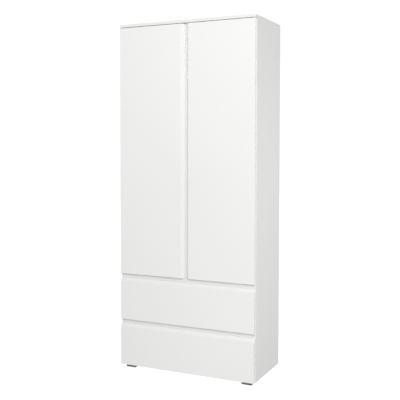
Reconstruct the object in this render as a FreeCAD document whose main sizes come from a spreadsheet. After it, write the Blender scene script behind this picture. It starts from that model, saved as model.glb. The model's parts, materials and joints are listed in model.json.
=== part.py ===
"""Two-door wardrobe with two drawers below, as separate boards, fronts and fittings.

Millimetres, +Z up, front towards -Y, origin on the floor under the middle of the body.
"""

import FreeCAD, Part
import os
import Sketcher

DRIVING = [
    ("width", 820), ("depth", 408), ("body_height", 1945), ("foot_height", 20),
    ("board", 16), ("front_board", 18), ("back_board", 3), ("joint_flange", 1),
    ("front_gap", 2), ("side_inset", 3), ("top_gap", 3), ("bevel", 16),
    ("drawer_face", 222), ("recess", 42), ("door_channel", 44),
    ("rail_height", 60), ("strip_width", 70), ("shelf_clearance", 1), ("shelf_back_gap", 3),
    ("hat_shelf_level", 1684), ("hat_shelf_depth", 340), ("clothes_rail_level", 1610),
    ("clothes_rail_radius", 12.5), ("tube_wall", 1.2), ("socket_radius", 25), ("socket_depth", 16),
    ("pin_radius", 2.5), ("pin_hole_depth", 9), ("pin_pitch", 32), ("pin_row_inset", 60),
    ("cam_radius", 7.5), ("cam_depth", 12), ("cam_edge", 34), ("cam_clearance", 0.1),
    ("foot_length", 58), ("foot_depth", 30), ("foot_inset", 25), ("foot_setback", 26),
    ("foot_taper", 2),
    ("box_board", 12), ("box_height", 150), ("box_length", 350), ("box_lift", 30),
    ("box_floor", 3), ("groove_depth", 5), ("groove_lift", 8), ("runner_gap", 12.5),
    ("runner_steel", 1.2), ("runner_height", 28), ("runner_flange", 9), ("runner_web", 14),
    ("glide_length", 26), ("glide_height", 17.2), ("glide_width", 7), ("slide_play", 0.3),
    ("cup_radius", 17.5), ("cup_depth", 12), ("cup_wall", 1.4), ("cup_edge", 22.5),
    ("cup_flange", 1.2), ("cup_ear_span", 62), ("cup_ear_width", 20), ("hinge_end", 100),
    ("plate_thickness", 4), ("plate_span", 52), ("plate_depth", 18), ("plate_setback", 37),
    ("arm_length", 62), ("arm_width", 15), ("arm_height", 12), ("neck_width", 8),
    ("neck_height", 6), ("neck_reach", 11), ("wood_screw_radius", 1.8), ("wood_screw_head", 3.6),
    ("wood_screw_length", 12), ("head_height", 1.6), ("nail_radius", 0.8), ("nail_head", 2.5),
    ("nail_length", 14), ("nail_head_height", 0.6), ("bracket_leg", 40), ("bracket_width", 30),
    ("bracket_steel", 2), ("bracket_offset", 300), ("wall_hole_radius", 3),
    ("bumper_radius", 4), ("bumper_height", 1.7),
]

HINGES_PER_DOOR = 3
PIN_ROWS = 5
PIN_ROW_IN_USE = 2

doc = FreeCAD.newDocument("wardrobe")
sheet = doc.addObject("Spreadsheet::Sheet", "Sizes")
for row, (alias, number) in enumerate(DRIVING, start=1):
    sheet.set(f"A{row}", alias)
    sheet.set(f"B{row}", str(number))
    sheet.setAlias(f"B{row}", alias)
doc.recompute()

# Planes and levels of the whole object, as expressions on the sheet.
FACE = "(-Sizes.depth / 2)"
FRONT_REAR = "(-Sizes.depth / 2 + Sizes.front_board)"
CARCASS_FRONT = "(-Sizes.depth / 2 + Sizes.front_board + Sizes.front_gap)"
CARCASS_REAR = "(Sizes.depth / 2 - Sizes.back_board - Sizes.joint_flange)"
RAIL_REAR = f"({CARCASS_FRONT} + Sizes.board)"
INNER = "(Sizes.width / 2 - Sizes.board)"
TOP = "(Sizes.foot_height + Sizes.body_height)"
TOP_UNDERSIDE = f"({TOP} - Sizes.board)"
LOWER_FACE_TOP = "(Sizes.foot_height + Sizes.drawer_face)"
UPPER_DRAWER = f"({LOWER_FACE_TOP} + Sizes.recess)"
UPPER_FACE_TOP = f"({UPPER_DRAWER} + Sizes.drawer_face)"
DOOR_BOTTOM = f"({UPPER_FACE_TOP} + Sizes.recess)"
DOOR_TOP = f"({TOP_UNDERSIDE} - Sizes.top_gap)"
DOOR_HEIGHT = f"({DOOR_TOP} - {DOOR_BOTTOM})"
FIXED_SHELF_TOP = f"({UPPER_FACE_TOP} + Sizes.recess / 2 + Sizes.rail_height / 2)"
FRONT_WIDTH = "(Sizes.width - 2 * Sizes.side_inset)"
DOOR_FACE = f"(({FRONT_WIDTH} - Sizes.door_channel) / 2)"
BOX_SIDE_OUTER = f"({INNER} - Sizes.runner_gap)"

PARTS = []


def value(expression):
    """The number an expression on the sheet stands for."""
    return float(sheet.evalExpression(expression.replace("Sizes.", "")))


def bind(item, **expressions):
    """Binds properties to the sheet; Base_x, Base_y and Base_z are the placement's."""
    for name, expression in expressions.items():
        path = "Placement.Base." + name[-1] if name.startswith("Base_") else name
        item.setExpression(path, expression)
    return item


def keep(item, label):
    """Marks an object as a sub-part, under the name of its file."""
    item.Label = label
    PARTS.append(item)
    return item


def box(x, y, z, length, width, height):
    """A plain block from its lowest corner; every argument is an expression."""
    block = doc.addObject("Part::Box", "Block")
    return bind(block, Length=length, Width=width, Height=height, Base_x=x, Base_y=y, Base_z=z)


TURNS = {
    "+X": FreeCAD.Rotation(FreeCAD.Vector(0, 1, 0), 90),
    "-X": FreeCAD.Rotation(FreeCAD.Vector(0, 1, 0), -90),
    "+Y": FreeCAD.Rotation(FreeCAD.Vector(1, 0, 0), -90),
    "-Y": FreeCAD.Rotation(FreeCAD.Vector(1, 0, 0), 90),
    "+Z": FreeCAD.Rotation(),
    "-Z": FreeCAD.Rotation(FreeCAD.Vector(1, 0, 0), 180),
}


def rod(x, y, z, radius, height, way):
    """A cylinder that starts at a point and runs one way along an axis."""
    cylinder = doc.addObject("Part::Cylinder", "Rod")
    cylinder.Placement.Rotation = TURNS[way]
    return bind(cylinder, Radius=radius, Height=height, Base_x=x, Base_y=y, Base_z=z)


def fuse(*shapes):
    union = doc.addObject("Part::MultiFuse", "Fuse")
    union.Shapes = list(shapes)
    union.Refine = True
    return union


def cut(base, *tools):
    difference = doc.addObject("Part::Cut", "Cut")
    difference.Base = base
    difference.Tool = tools[0] if len(tools) == 1 else group(*tools)
    difference.Refine = True
    return difference


def group(*shapes):
    """Separate solids that share one node."""
    compound = doc.addObject("Part::Compound", "Group")
    compound.Links = list(shapes)
    return compound


def screw(x, y, z, way):
    """A countersunk-style wood screw: (x, y, z) is under its head, way is where the tip points."""
    back = {"+": "-", "-": "+"}[way[0]] + way[1]
    shank = rod(x, y, z, "Sizes.wood_screw_radius", "Sizes.wood_screw_length", way)
    head = rod(x, y, z, "Sizes.wood_screw_head", "Sizes.head_height", back)
    return fuse(shank, head)


def plane(body, role):
    return next(item for item in body.Origin.OriginFeatures if item.Role == role)


def sketch_on(body, role, name):
    sketch = body.newObject("Sketcher::SketchObject", name)
    sketch.AttachmentSupport = [(plane(body, role), "")]
    sketch.MapMode = "FlatFace"
    return sketch


def pin_point(sketch, geometry, end, x, y):
    """Fixes one point of a sketch; None puts it on the sketch's own axis."""
    if x is None:
        sketch.addConstraint(Sketcher.Constraint("PointOnObject", geometry, end, -2))
    else:
        sketch.addConstraint(Sketcher.Constraint("DistanceX", -1, 1, geometry, end, value(x)))
        sketch.setExpression(f"Constraints[{sketch.ConstraintCount - 1}]", x)
    if y is None:
        sketch.addConstraint(Sketcher.Constraint("PointOnObject", geometry, end, -1))
    else:
        sketch.addConstraint(Sketcher.Constraint("DistanceY", -1, 1, geometry, end, value(y)))
        sketch.setExpression(f"Constraints[{sketch.ConstraintCount - 1}]", y)


def outline(body, role, corners):
    """A closed outline through corners given as pairs of expressions."""
    sketch = sketch_on(body, role, "Outline")
    points = [FreeCAD.Vector(value(x or "0"), value(y or "0"), 0) for x, y in corners]
    count = len(points)
    for i, start in enumerate(points):
        sketch.addGeometry(Part.LineSegment(start, points[(i + 1) % count]), False)
    for i in range(count):
        sketch.addConstraint(Sketcher.Constraint("Coincident", i, 2, (i + 1) % count, 1))
    for i, (x, y) in enumerate(corners):
        pin_point(sketch, i, 1, x, y)
    return sketch


def circles(body, role, radius, centres):
    """Round holes of one radius, at centres given as pairs of expressions."""
    sketch = sketch_on(body, role, "Holes")
    for i, (x, y) in enumerate(centres):
        centre = FreeCAD.Vector(value(x or "0"), value(y or "0"), 0)
        sketch.addGeometry(Part.Circle(centre, FreeCAD.Vector(0, 0, 1), value(radius)), False)
        sketch.addConstraint(Sketcher.Constraint("Radius", i, value(radius)))
        sketch.setExpression(f"Constraints[{sketch.ConstraintCount - 1}]", radius)
        pin_point(sketch, i, 3, x, y)
    return sketch


def pad(body, sketch, length, reverse=False):
    feature = body.newObject("PartDesign::Pad", "Pad")
    feature.Profile = sketch
    feature.setExpression("Length", length)
    feature.Reversed = reverse
    doc.recompute()
    return feature


def pocket(body, sketch, depth, reverse=False):
    """Cuts a sketch into the body, and makes sure that something was cut."""
    before = body.Shape.Volume
    feature = body.newObject("PartDesign::Pocket", "Pocket")
    feature.Profile = sketch
    feature.setExpression("Length", depth)
    feature.Reversed = reverse
    doc.recompute()
    if body.Shape.Volume > before - 1:
        raise RuntimeError(f"{body.Name}: a pocket cut nothing")
    return feature


def slab(label, length, width, height, x, y, z):
    """A plain board as a padded sketch, from its lowest corner."""
    body = doc.addObject("PartDesign::Body", label)
    corners = [(None, None), (length, None), (length, width), (None, width)]
    pad(body, outline(body, "XY_Plane", corners), height)
    return keep(bind(body, Base_x=x, Base_y=y, Base_z=z), label)


def cam_pockets(places, way):
    return [rod(x, y, z, "Sizes.cam_radius + Sizes.cam_clearance", "Sizes.cam_depth", way)
            for x, y, z in places]


def cam(x, y, z, way):
    """A cam disc set flush in its pocket, with a cross slot for the driver."""
    disc = rod(x, y, z, "Sizes.cam_radius", "Sizes.cam_depth", way)
    slot = {"X": ("2", "9", "2.4"), "Y": ("9", "2", "2.4"), "Z": ("9", "2.4", "2")}[way[1]]
    corner = [f"({at}) - {size} / 2" for at, size in zip((x, y, z), slot)]
    cross = list(slot)
    cross_corner = list(corner)
    swap = [i for i in range(3) if "XYZ"[i] != way[1]]
    cross[swap[0]], cross[swap[1]] = slot[swap[1]], slot[swap[0]]
    cross_corner = [f"({at}) - {size} / 2" for at, size in zip((x, y, z), cross)]
    return cut(disc, box(*corner, *slot), box(*cross_corner, *cross))


# --- the body's boards ---------------------------------------------------------------------


def side_panel(side):
    """One side board: shelf-pin holes and the cams that hold the top, all on its inner face."""
    sign = "-" if side == "left" else ""
    label = f"{side}_side_panel"
    body = doc.addObject("PartDesign::Body", label)
    deep = f"({CARCASS_REAR} - {CARCASS_FRONT})"
    tall = "(Sizes.body_height - Sizes.board)"
    corners = [(None, None), (deep, None), (deep, tall), (None, tall)]
    left = side == "left"
    pad(body, outline(body, "YZ_Plane", corners), "Sizes.board", reverse=left)
    holes = []
    for row in range(PIN_ROWS):
        up = f"(Sizes.hat_shelf_level - Sizes.foot_height + ({row - PIN_ROW_IN_USE}) * Sizes.pin_pitch)"
        for across in (f"({deep} - Sizes.hat_shelf_depth + Sizes.pin_row_inset)",
                       f"({deep} - Sizes.pin_row_inset)"):
            holes.append((across, f"({up} - Sizes.pin_radius)"))
    pocket(body, circles(body, "YZ_Plane", "Sizes.pin_radius", holes), "Sizes.pin_hole_depth",
           reverse=not left)
    cams = [(across, f"({tall} - Sizes.cam_edge)") for across in ("60", f"({deep} - 60)")]
    pocket(body, circles(body, "YZ_Plane", "Sizes.cam_radius + Sizes.cam_clearance", cams),
           "Sizes.cam_depth", reverse=not left)
    bind(body, Base_x=f"{sign}{INNER}", Base_y=CARCASS_FRONT, Base_z="Sizes.foot_height")
    return keep(body, label)


def board_between_sides(label, y, z, width, height, cams, way):
    """A board from one side panel to the other, with cam pockets cut into one face."""
    block = box(f"-{INNER}", y, z, f"2 * {INNER}", width, height)
    return keep(cut(block, *cam_pockets(cams, way)), label)


def cam_row(y_places, z):
    """Cam centres at both ends of a board that lies between the side panels."""
    return [(f"{sign}({INNER} - Sizes.cam_edge)", y, z) for sign in ("-", "") for y in y_places]


side_panel("left")
side_panel("right")
slab("top_panel", "Sizes.width", f"({CARCASS_REAR} - {FACE})", "Sizes.board",
     "-Sizes.width / 2", FACE, TOP_UNDERSIDE)

bottom_cams = cam_row((f"({CARCASS_FRONT} + 60)", f"({CARCASS_REAR} - 60)"), "Sizes.foot_height")
shelf_underside = f"({FIXED_SHELF_TOP} - Sizes.board)"
shelf_cams = cam_row((f"({RAIL_REAR} + 60)", f"({CARCASS_REAR} - 60)"), shelf_underside)
board_between_sides("bottom_panel", CARCASS_FRONT, "Sizes.foot_height",
                    f"({CARCASS_REAR} - {CARCASS_FRONT})", "Sizes.board", bottom_cams, "+Z")
board_between_sides("fixed_shelf", RAIL_REAR, shelf_underside,
                    f"({CARCASS_REAR} - {RAIL_REAR})", "Sizes.board", shelf_cams, "+Z")

lower_rail_middle = f"({LOWER_FACE_TOP} + Sizes.recess / 2)"
upper_rail_middle = f"({UPPER_FACE_TOP} + Sizes.recess / 2)"
lower_rail_cams = cam_row((RAIL_REAR,), lower_rail_middle)
upper_rail_cams = cam_row((RAIL_REAR,), f"({upper_rail_middle} - Sizes.board / 2)")
for label, middle, cams in (("lower_recess_rail", lower_rail_middle, lower_rail_cams),
                            ("upper_recess_rail", upper_rail_middle, upper_rail_cams)):
    board_between_sides(label, CARCASS_FRONT, f"({middle} - Sizes.rail_height / 2)",
                        "Sizes.board", "Sizes.rail_height", cams, "-Y")

strip_cams = [("0", RAIL_REAR, f"({FIXED_SHELF_TOP} + Sizes.cam_edge)"),
              ("0", RAIL_REAR, f"({TOP_UNDERSIDE} - Sizes.cam_edge)")]
strip = box("-Sizes.strip_width / 2", CARCASS_FRONT, FIXED_SHELF_TOP, "Sizes.strip_width",
            "Sizes.board", f"({TOP_UNDERSIDE} - {FIXED_SHELF_TOP})")
keep(cut(strip, *cam_pockets(strip_cams, "-Y")), "centre_strip")

slab("hat_shelf", f"(2 * {INNER} - 2 * Sizes.shelf_clearance)", "Sizes.hat_shelf_depth",
     "Sizes.board", f"(-{INNER} + Sizes.shelf_clearance)",
     f"({CARCASS_REAR} - Sizes.shelf_back_gap - Sizes.hat_shelf_depth)", "Sizes.hat_shelf_level")

# The cams stand in the pockets above, each facing out of the face it is set in.
all_cams = [cam(x, y, z, "+Z") for x, y, z in bottom_cams + shelf_cams]
all_cams += [cam(x, y, z, "-Y") for x, y, z in lower_rail_cams + upper_rail_cams + strip_cams]
side_cam_level = f"({TOP_UNDERSIDE} - Sizes.cam_edge)"
for y in (f"({CARCASS_FRONT} + 60)", f"({CARCASS_REAR} - 60)"):
    all_cams.append(cam(f"-{INNER}", y, side_cam_level, "-X"))
    all_cams.append(cam(INNER, y, side_cam_level, "+X"))
keep(group(*all_cams), "cam_fittings")

# --- the back: one sheet behind the drawers, two above joined by a plastic profile ------------

back_split = f"({FIXED_SHELF_TOP} - Sizes.board / 2)"
wall_level = f"({TOP_UNDERSIDE} - Sizes.bracket_leg / 2)"
keep(box("(-Sizes.width / 2 + 2)", CARCASS_REAR, "Sizes.foot_height + 2", "Sizes.width - 4",
         "Sizes.back_board", f"({back_split} - Sizes.foot_height - 2)"), "lower_back_panel")
for side, sign in (("left", "-"), ("right", "")):
    start = "(-Sizes.width / 2 + 2)" if side == "left" else "Sizes.joint_flange"
    sheet_of_back = box(start, CARCASS_REAR, f"({back_split} + 1)",
                        "(Sizes.width / 2 - 2 - Sizes.joint_flange)", "Sizes.back_board",
                        f"({TOP} - 2 - {back_split} - 1)")
    hole = rod(f"{sign}Sizes.bracket_offset", f"({CARCASS_REAR} - 1)", wall_level,
               "Sizes.wall_hole_radius", "Sizes.back_board + 2", "+Y")
    keep(cut(sheet_of_back, hole), f"{side}_upper_back_panel")


def back_profile():
    """H-section strip that grips the facing edges of the two upper back sheets."""
    low = f"({FIXED_SHELF_TOP} + 1)"
    tall = f"({TOP_UNDERSIDE} - 1 - {low})"
    inner = box("-10", f"({CARCASS_REAR} - Sizes.joint_flange)", low, "20", "Sizes.joint_flange", tall)
    outer = box("-10", f"({CARCASS_REAR} + Sizes.back_board)", low, "20", "Sizes.joint_flange", tall)
    web = box("-Sizes.joint_flange / 2", CARCASS_REAR, low, "Sizes.joint_flange",
              "Sizes.back_board", tall)
    return keep(fuse(inner, web, outer), "back_joint_profile")


back_profile()


def back_nails():
    """Round-headed nails through the back sheets into the board edges."""
    nails = []
    outer = "(Sizes.depth / 2 - Sizes.joint_flange)"
    levels = [f"(Sizes.foot_height + 60 + {i} * (Sizes.body_height - 120) / 12)" for i in range(13)]
    edges = [(f"{sign}(Sizes.width / 2 - Sizes.board / 2)", z) for sign in ("-", "") for z in levels]
    spans = [f"({i} * Sizes.width / 6)" for i in (-2, -1, 1, 2)]
    rows = ["(Sizes.foot_height + Sizes.board / 2)", f"({TOP} - Sizes.board / 2)"]
    rows += [f"({FIXED_SHELF_TOP} - Sizes.board / 4)", f"({FIXED_SHELF_TOP} - 3 * Sizes.board / 4)"]
    edges += [(x, z) for x in spans for z in rows]
    for x, z in edges:
        shank = rod(x, outer, z, "Sizes.nail_radius", "Sizes.nail_length", "-Y")
        head = rod(x, outer, z, "Sizes.nail_head", "Sizes.nail_head_height", "+Y")
        nails.append(fuse(shank, head))
    return keep(group(*nails), "back_nails")


back_nails()

# --- feet ---------------------------------------------------------------------------------------


def foot(label, x, y):
    """A moulded plastic glide: a low block whose bottom edges are chamfered."""
    body = doc.addObject("PartDesign::Body", label)
    corners = [(None, None), ("Sizes.foot_length", None), ("Sizes.foot_length", "Sizes.foot_depth"),
               (None, "Sizes.foot_depth")]
    block = pad(body, outline(body, "XY_Plane", corners), "Sizes.foot_height")
    low = [f"Edge{i}" for i, edge in enumerate(block.Shape.Edges, start=1)
           if edge.BoundBox.ZMax < 0.01]
    taper = body.newObject("PartDesign::Chamfer", "Taper")
    taper.Base = (block, low)
    taper.setExpression("Size", "Sizes.foot_taper")
    return keep(bind(body, Base_x=x, Base_y=y, Base_z="0"), label)


foot_x = {"left": "(-Sizes.width / 2 + Sizes.foot_inset)",
          "right": "(Sizes.width / 2 - Sizes.foot_inset - Sizes.foot_length)"}
foot_y = {"front": f"({FACE} + Sizes.foot_setback)", "rear": f"({CARCASS_REAR} - Sizes.foot_depth)"}
foot_screws = []
for end, y in foot_y.items():
    for side, x in foot_x.items():
        foot(f"{end}_{side}_foot", x, y)
        for step in (1, 3):
            foot_screws.append(rod(f"({x} + {step} * Sizes.foot_length / 4)",
                                   f"({y} + Sizes.foot_depth / 2)", "Sizes.foot_height - 8",
                                   "Sizes.wood_screw_radius", "20", "+Z"))
keep(group(*foot_screws), "foot_screws")

# --- the clothes rail and the shelf pins --------------------------------------------------------

rail_y = f"({CARCASS_REAR} - Sizes.hat_shelf_depth / 2)"
socket_screws = []
rail_end = f"({INNER} - 3)"
tube = rod(f"-{rail_end}", rail_y, "Sizes.clothes_rail_level", "Sizes.clothes_rail_radius",
           f"2 * {rail_end}", "+X")
bore = rod(f"(-{rail_end} - 1)", rail_y, "Sizes.clothes_rail_level",
           "Sizes.clothes_rail_radius - Sizes.tube_wall", f"(2 * {rail_end} + 2)", "+X")
keep(cut(tube, bore), "clothes_rail")
for side, sign, way in (("left", "-", "+X"), ("right", "", "-X")):
    into = "(-1)" if side == "right" else "1"
    flange = rod(f"{sign}{INNER}", rail_y, "Sizes.clothes_rail_level", "Sizes.socket_radius",
                 "3", way)
    collar = rod(f"{sign}{INNER}", rail_y, "Sizes.clothes_rail_level",
                 "Sizes.clothes_rail_radius + 3", "Sizes.socket_depth", way)
    seat = rod(f"({sign}{INNER} + {into} * 2.9)", rail_y, "Sizes.clothes_rail_level",
               "Sizes.clothes_rail_radius + 0.2", "Sizes.socket_depth", way)
    keep(cut(fuse(flange, collar), seat), f"{side}_rail_socket")
    outward = {"+X": "-X", "-X": "+X"}[way]
    for offset in ("- 20.5", "+ 20.5"):
        socket_screws.append(screw(f"({sign}{INNER} + {into} * 3)", rail_y,
                                   f"(Sizes.clothes_rail_level {offset})", outward))
keep(group(*socket_screws), "rail_socket_screws")

pins = []
for sign, way in (("-", "-X"), ("", "+X")):
    for y in (f"({CARCASS_REAR} - Sizes.hat_shelf_depth + Sizes.pin_row_inset)",
              f"({CARCASS_REAR} - Sizes.pin_row_inset)"):
        level = "(Sizes.hat_shelf_level - Sizes.pin_radius)"
        back = {"-X": "+X", "+X": "-X"}[way]
        stem = rod(f"{sign}{INNER}", y, level, "Sizes.pin_radius - 0.1", "Sizes.pin_hole_depth", way)
        nose = rod(f"{sign}{INNER}", y, level, "Sizes.pin_radius", "9", back)
        collar = cut(rod(f"{sign}{INNER}", y, level, "4.5", "1.5", back),
                     box(f"({sign}{INNER} - 5)", f"({y} - 5)", "Sizes.hat_shelf_level", "10", "10", "5"))
        pins.append(fuse(stem, nose, collar))
keep(group(*pins), "shelf_pins")

# --- wall brackets --------------------------------------------------------------------------------


def wall_bracket(sign):
    """Steel angle under the top, with a clear hole towards the wall."""
    x = f"({sign}Sizes.bracket_offset - Sizes.bracket_width / 2)"
    back_leg = box(x, f"({CARCASS_REAR} - Sizes.bracket_steel)", f"({TOP_UNDERSIDE} - Sizes.bracket_leg)",
                   "Sizes.bracket_width", "Sizes.bracket_steel", "Sizes.bracket_leg")
    top_leg = box(x, f"({CARCASS_REAR} - Sizes.bracket_leg)", f"({TOP_UNDERSIDE} - Sizes.bracket_steel)",
                  "Sizes.bracket_width", "Sizes.bracket_leg", "Sizes.bracket_steel")
    hole = rod(f"{sign}Sizes.bracket_offset", f"({CARCASS_REAR} - 5)", wall_level,
               "Sizes.wall_hole_radius", "10", "+Y")
    return cut(fuse(back_leg, top_leg), hole)


keep(group(wall_bracket("-"), wall_bracket("")), "wall_brackets")
keep(group(*[screw(f"({sign}Sizes.bracket_offset {offset})", f"({CARCASS_REAR} - 26)",
                   f"({TOP_UNDERSIDE} - Sizes.bracket_steel)", "+Z")
             for sign in ("-", "") for offset in ("- 8", "+ 8")]), "wall_bracket_screws")

# --- doors ----------------------------------------------------------------------------------------

hinge_levels = [f"({DOOR_BOTTOM} + Sizes.hinge_end + {i} * ({DOOR_HEIGHT} - 2 * Sizes.hinge_end)"
                f" / {HINGES_PER_DOOR - 1})" for i in range(HINGES_PER_DOOR)]


def door_panel(side):
    """A door with a front bevel down its inner edge, and cup holes in its back near the outer one."""
    label = f"{side}_door_panel"
    body = doc.addObject("PartDesign::Body", label)
    land = "Sizes.front_board"
    full = f"({DOOR_FACE} + Sizes.bevel)"
    if side == "left":
        corners = [(None, None), (DOOR_FACE, None), (full, "Sizes.bevel"), (full, land), (None, land)]
        start = f"-{FRONT_WIDTH} / 2"
    else:
        corners = [("Sizes.bevel", None), (full, None), (full, land), (None, land),
                   (None, "Sizes.bevel")]
        start = f"({FRONT_WIDTH} / 2 - {full})"
    pad(body, outline(body, "XY_Plane", corners), DOOR_HEIGHT)
    across = "Sizes.cup_edge" if side == "left" else f"({full} - Sizes.cup_edge)"
    cups = [(across, f"({level} - {DOOR_BOTTOM})") for level in hinge_levels]
    sketch = circles(body, "XZ_Plane", "Sizes.cup_radius + 0.1", cups)
    sketch.setExpression("AttachmentOffset.Base.z", "-Sizes.front_board")
    pocket(body, sketch, "Sizes.cup_depth", reverse=True)
    bind(body, Base_x=start, Base_y=FACE, Base_z=DOOR_BOTTOM)
    return keep(body, label)


def hinge_cup(sign, level):
    """Pressed cup sunk in the door's back, with two ears for its screws."""
    x = f"{sign}({FRONT_WIDTH} / 2 - Sizes.cup_edge)"
    can = rod(x, FRONT_REAR, level, "Sizes.cup_radius", "Sizes.cup_depth - 0.2", "-Y")
    ears = box(f"({x} - Sizes.cup_ear_width / 2)", FRONT_REAR, f"({level} - Sizes.cup_ear_span / 2)",
               "Sizes.cup_ear_width", "Sizes.cup_flange", "Sizes.cup_ear_span")
    hollow = rod(x, f"({FRONT_REAR} + 5)", level, "Sizes.cup_radius - Sizes.cup_wall",
                 "Sizes.cup_depth - 0.2 - Sizes.cup_wall + 5", "-Y")
    return cut(fuse(can, ears), hollow)


def hinge_plate(sign, level):
    """Mounting plate on the side panel's inner face."""
    x = INNER + " - Sizes.plate_thickness" if sign == "" else "-" + INNER
    y = f"({CARCASS_FRONT} + Sizes.plate_setback - Sizes.plate_depth / 2)"
    return box(f"({x})", y, f"({level} - Sizes.plate_span / 2)", "Sizes.plate_thickness",
               "Sizes.plate_depth", "Sizes.plate_span")


def hinge_arm(sign, level):
    """Arm channel over the plate, and the neck that reaches into the cup."""
    x = f"({INNER} - Sizes.plate_thickness - Sizes.arm_height)" if sign == "" \
        else f"(-{INNER} + Sizes.plate_thickness)"
    start = f"({CARCASS_FRONT} + 6)"
    arm = box(x, start, f"({level} - Sizes.arm_width / 2)", "Sizes.arm_height", "Sizes.arm_length",
              "Sizes.arm_width")
    neck_x = f"({sign}({FRONT_WIDTH} / 2 - Sizes.cup_edge) - Sizes.neck_height / 2)"
    neck = box(neck_x, f"({start} - Sizes.neck_reach)", f"({level} - Sizes.neck_width / 2)",
               "Sizes.neck_height", "Sizes.neck_reach", "Sizes.neck_width")
    return fuse(arm, neck)


plate_screws = []
for side, sign in (("left", "-"), ("right", "")):
    door_panel(side)
    keep(group(*[hinge_cup(sign, level) for level in hinge_levels]), f"{side}_hinge_cups")
    keep(group(*[hinge_plate(sign, level) for level in hinge_levels]), f"{side}_hinge_plates")
    keep(group(*[hinge_arm(sign, level) for level in hinge_levels]), f"{side}_hinge_arms")
    inward = "1" if side == "left" else "(-1)"
    tip = "-X" if side == "left" else "+X"
    cup_screws = []
    for level in hinge_levels:
        for offset in ("- 24", "+ 24"):
            cup_screws.append(screw(f"{sign}({FRONT_WIDTH} / 2 - Sizes.cup_edge)",
                                    f"({FRONT_REAR} + Sizes.cup_flange)", f"({level} {offset})", "-Y"))
        for offset in ("- 16", "+ 16"):
            plate_screws.append(screw(f"({sign}{INNER} + {inward} * Sizes.plate_thickness)",
                                      f"({CARCASS_FRONT} + Sizes.plate_setback)",
                                      f"({level} {offset})", tip))
    keep(group(*cup_screws), f"{side}_cup_screws")
keep(group(*plate_screws), "hinge_plate_screws")

# --- drawers --------------------------------------------------------------------------------------


def drawer_front(label, level):
    """Full-width front, bevelled back from the top of its face."""
    body = doc.addObject("PartDesign::Body", label)
    crest = "(Sizes.drawer_face + Sizes.bevel)"
    corners = [(None, None), ("Sizes.front_board", None), ("Sizes.front_board", crest),
               ("Sizes.bevel", crest), (None, "Sizes.drawer_face")]
    pad(body, outline(body, "YZ_Plane", corners), FRONT_WIDTH)
    bind(body, Base_x=f"-{FRONT_WIDTH} / 2", Base_y=FACE, Base_z=level)
    return keep(body, label)


def drawer(name, level):
    """Front, two sides, back and a thin floor in grooves, on side-hung steel runners."""
    floor = f"({level} + Sizes.box_lift)"
    groove = f"({floor} + Sizes.groove_lift)"
    inner = f"({BOX_SIDE_OUTER} - Sizes.box_board)"
    drawer_front(f"{name}_drawer_front", level)
    for side, x in (("left", f"-{BOX_SIDE_OUTER}"), ("right", inner)):
        board = box(x, FRONT_REAR, floor, "Sizes.box_board", "Sizes.box_length", "Sizes.box_height")
        slot_x = f"(-{inner} - Sizes.groove_depth)" if side == "left" else inner
        slot = box(slot_x, FRONT_REAR, groove, "Sizes.groove_depth", "Sizes.box_length",
                   "Sizes.box_floor")
        keep(cut(board, slot), f"{name}_drawer_{side}_side")
    keep(box(f"-{inner}", f"({FRONT_REAR} + Sizes.box_length - Sizes.box_board)",
             f"({groove} + Sizes.box_floor)", f"2 * {inner}", "Sizes.box_board",
             "(Sizes.box_height - Sizes.groove_lift - Sizes.box_floor)"), f"{name}_drawer_back")
    keep(box(f"(-{inner} - Sizes.groove_depth)", FRONT_REAR, groove,
             f"2 * ({inner} + Sizes.groove_depth)", "Sizes.box_length", "Sizes.box_floor"),
         f"{name}_drawer_floor")
    runners(name, floor)


def mirrored_x(side, near, thick):
    """Start of a block that is thick wide and begins near from the middle plane, on either side."""
    return f"(-({near}) - ({thick}))" if side == "left" else f"({near})"


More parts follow.
